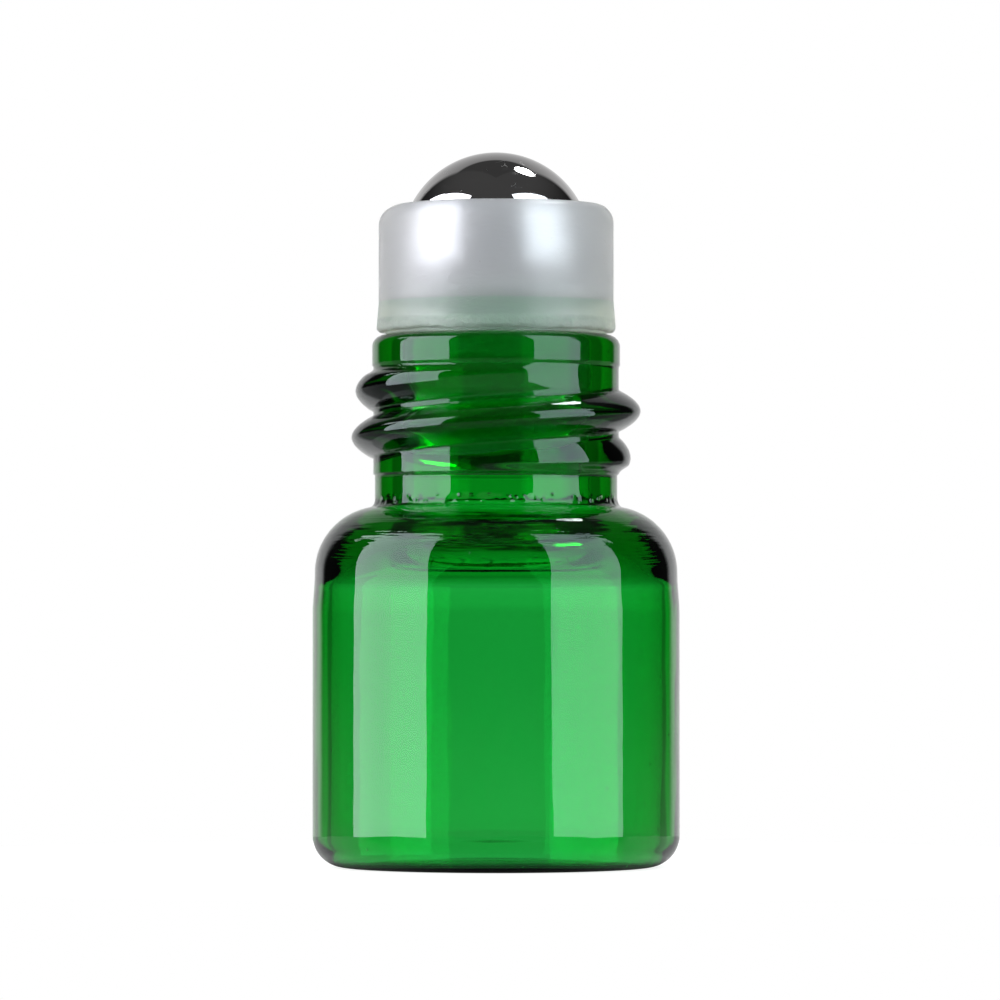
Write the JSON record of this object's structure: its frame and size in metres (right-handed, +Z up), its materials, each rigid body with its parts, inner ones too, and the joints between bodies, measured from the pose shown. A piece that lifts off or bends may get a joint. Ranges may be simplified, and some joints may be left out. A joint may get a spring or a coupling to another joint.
{
  "type": "roll on bottle",
  "caption": "Small screw-necked glass vial with a press-in plastic roller housing and a steel ball that turns in its socket to spread liquid on skin.",
  "frame": {"origin": "centre of the foot, on the surface the bottle stands on", "axes": "+Z up the bottle's axis from the foot to the ball, -Y towards the viewer of the picture, +X to the viewer's right"},
  "size_m": [0.016, 0.016, 0.0311],
  "materials": {
    "green_glass": "clear green soda-lime glass, fire-polished",
    "natural_plastic": "natural translucent polyethylene, smooth moulded surface with fine handling marks",
    "polished_steel": "mirror-polished stainless steel"
  },
  "bodies": {
    "bottle": {"glass_bottle": "green_glass"},
    "fitment": {"roller_housing": "natural_plastic"},
    "ball": {"roller_ball": "polished_steel"}
  },
  "joints": [
    {"name": "fitment_pull", "type": "slide", "parent": "bottle", "child": "fitment", "axis": [0, 0, 1], "range_m": [0, 0.012]},
    {"name": "ball_roll", "type": "hinge", "parent": "fitment", "child": "ball", "pos_m": [0, 0, 0.02699], "axis": [1, 0, 0], "continuous": true}
  ]
}
